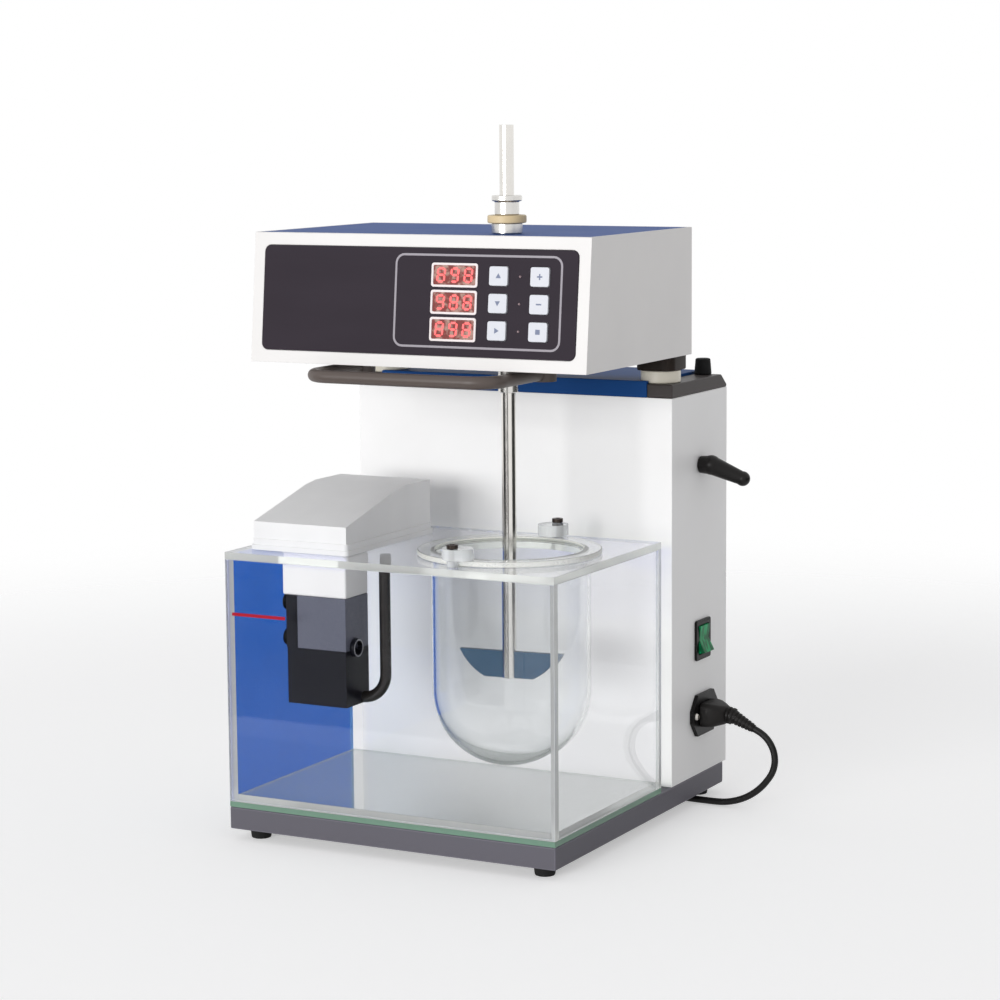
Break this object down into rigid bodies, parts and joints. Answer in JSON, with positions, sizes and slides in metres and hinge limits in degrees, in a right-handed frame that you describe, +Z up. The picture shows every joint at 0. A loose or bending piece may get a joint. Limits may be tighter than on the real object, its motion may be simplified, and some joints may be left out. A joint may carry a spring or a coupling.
{
  "type": "dissolution tester",
  "caption": "Bench dissolution tester: a clear heated bath holds a round-bottom vessel, and a head on guide posts lifts its paddle stirrer, displays and keys.",
  "frame": {"origin": "on the floor under the middle of the instrument without its mains lead", "axes": "+Z up, +Y to the back, +X to the user's right as seen from the front"},
  "size_m": [0.3235, 0.3924, 0.505],
  "materials": {
    "base_paint": "matt dark grey paint",
    "foot_rubber": "black rubber",
    "plate_glass": "green-edged plate glass",
    "clear_acrylic": "clear acrylic",
    "blue_acrylic": "blue-tinted acrylic",
    "vessel_glass": "clear borosilicate glass",
    "dark_steel": "dark screws",
    "white_plastic": "white moulded plastic",
    "bright_steel": "turned steel",
    "paddle_steel": "dull coated steel",
    "pump_grey": "grey moulded plastic",
    "black_plastic": "black moulded plastic",
    "white_paint": "white powder coat",
    "cap_blue": "dark blue paint",
    "cover_blue": "blue paint",
    "dark_plastic": "dark grey moulded plastic",
    "cast_aluminium": "cast aluminium",
    "iron_core": "varnished iron",
    "motor_paint": "grey paint",
    "rocker_green": "lit green plastic",
    "floor_paint": "grey paint",
    "panel_film": "dark printed film",
    "display_red": "dark red window",
    "board_green": "green circuit board",
    "key_film": "pale keys",
    "collar_beige": "beige plastic",
    "handle_brown": "dark brown coating",
    "cord_black": "black cord sheath"
  },
  "bodies": {
    "stand": {"base_plate": "base_paint", "base_feet": "foot_rubber", "base_glass": "plate_glass", "tank_floor": "clear_acrylic", "tank_walls": "clear_acrylic", "tank_left_wall": "blue_acrylic", "tank_lid": "clear_acrylic", "vessel": "vessel_glass", "retainer_screws": "dark_steel", "circulator_cover": "white_plastic", "circulator_block": "white_plastic", "heating_element": "bright_steel", "pump_case": "pump_grey", "pump_chamber": "black_plastic", "mounting_cups": "foot_rubber", "circulator_hose": "black_plastic", "column_housing": "white_paint", "column_back": "white_paint", "column_cap": "cap_blue", "cap_ends": "dark_plastic", "cap_pegs": "foot_rubber", "guide_bushes": "white_plastic", "guide_beam": "cast_aluminium", "power_supply": "iron_core", "rocker_bezel": "black_plastic", "inlet_socket": "black_plastic", "cord_connector": "black_plastic", "mains_cord": "cord_black", "cord_coil": "cord_black", "mains_plug": "black_plastic"},
    "head": {"head_shell": "white_paint", "head_cover": "cover_blue", "head_floor": "floor_paint", "front_panel": "panel_film", "displays": "display_red", "control_board": "board_green", "drive_motor": "motor_paint", "drive_belt": "foot_rubber", "spindle_housing": "cast_aluminium", "spindle_bearings": "bright_steel", "lift_handle": "handle_brown", "guide_posts": "bright_steel", "post_sockets": "dark_plastic"},
    "spindle": {"spindle": "bright_steel", "chuck_collar": "collar_beige"},
    "chuck_nut": {"chuck_nut": "bright_steel"},
    "stirrer": {"stirrer_shaft": "bright_steel", "paddle_blade": "paddle_steel"},
    "motor_rotor": {"motor_pulley": "bright_steel"},
    "clamp_lever": {"clamp_lever": "black_plastic"},
    "rocker_switch": {"rocker_switch": "rocker_green"},
    "front_retainer": {"front_retainer": "clear_acrylic"},
    "back_retainer": {"back_retainer": "clear_acrylic"},
    "pump_impeller": {"pump_impeller": "white_plastic"},
    "key_1": {"key_1": "key_film"},
    "key_2": {"key_2": "key_film"},
    "key_3": {"key_3": "key_film"},
    "key_4": {"key_4": "key_film"},
    "key_5": {"key_5": "key_film"},
    "key_6": {"key_6": "key_film"}
  },
  "joints": [
    {"name": "head_lift", "type": "slide", "parent": "stand", "child": "head", "axis": [0, 0, 1], "range_m": [0, 0.11]},
    {"name": "spindle_spin", "type": "hinge", "parent": "head", "child": "spindle", "pos_m": [0.03875, -0.064, 0.38], "axis": [0, 0, 1], "continuous": true},
    {"name": "motor_spin", "type": "hinge", "parent": "head", "child": "motor_rotor", "pos_m": [-0.04125, -0.064, 0.4], "axis": [0, 0, 1], "continuous": true},
    {"name": "nut_turn", "type": "hinge", "parent": "spindle", "child": "chuck_nut", "pos_m": [0.03875, -0.064, 0.45], "axis": [0, 0, 1], "range_deg": [0, 180]},
    {"name": "shaft_height", "type": "slide", "parent": "spindle", "child": "stirrer", "axis": [0, 0, 1], "range_m": [-0.036, 0.15]},
    {"name": "key_1_press", "type": "slide", "parent": "head", "child": "key_1", "axis": [0, 0.9948, -0.1022], "range_m": [0, 0.001], "stiffness_N_per_m": 400, "springref_m": -0.0005},
    {"name": "key_2_press", "type": "slide", "parent": "head", "child": "key_2", "axis": [0, 0.9948, -0.1022], "range_m": [0, 0.001], "stiffness_N_per_m": 400, "springref_m": -0.0005},
    {"name": "key_3_press", "type": "slide", "parent": "head", "child": "key_3", "axis": [0, 0.9948, -0.1022], "range_m": [0, 0.001], "stiffness_N_per_m": 400, "springref_m": -0.0005},
    {"name": "key_4_press", "type": "slide", "parent": "head", "child": "key_4", "axis": [0, 0.9948, -0.1022], "range_m": [0, 0.001], "stiffness_N_per_m": 400, "springref_m": -0.0005},
    {"name": "key_5_press", "type": "slide", "parent": "head", "child": "key_5", "axis": [0, 0.9948, -0.1022], "range_m": [0, 0.001], "stiffness_N_per_m": 400, "springref_m": -0.0005},
    {"name": "key_6_press", "type": "slide", "parent": "head", "child": "key_6", "axis": [0, 0.9948, -0.1022], "range_m": [0, 0.001], "stiffness_N_per_m": 400, "springref_m": -0.0005},
    {"name": "clamp_turn", "type": "hinge", "parent": "stand", "child": "clamp_lever", "pos_m": [0.11375, 0.095, 0.256], "axis": [1, 0, 0], "range_deg": [0, 90]},
    {"name": "rocker_tip", "type": "hinge", "parent": "stand", "child": "rocker_switch", "pos_m": [0.11375, 0.098, 0.1255], "axis": [0, 1, 0], "range_deg": [0, 20]},
    {"name": "front_retainer_turn", "type": "hinge", "parent": "stand", "child": "front_retainer", "pos_m": [0.03143, -0.13362, 0.216], "axis": [0, 0, 1], "range_deg": [0, 180]},
    {"name": "back_retainer_turn", "type": "hinge", "parent": "stand", "child": "back_retainer", "pos_m": [0.04119, 0.00596, 0.216], "axis": [0, 0, 1], "range_deg": [0, 180]},
    {"name": "impeller_spin", "type": "hinge", "parent": "stand", "child": "pump_impeller", "pos_m": [-0.08275, -0.1085, 0.11], "axis": [0, 0, 1], "continuous": true}
  ],
  "couplings": [
    {"joint": "motor_spin", "follows": "spindle_spin", "ratio": 2}
  ]
}
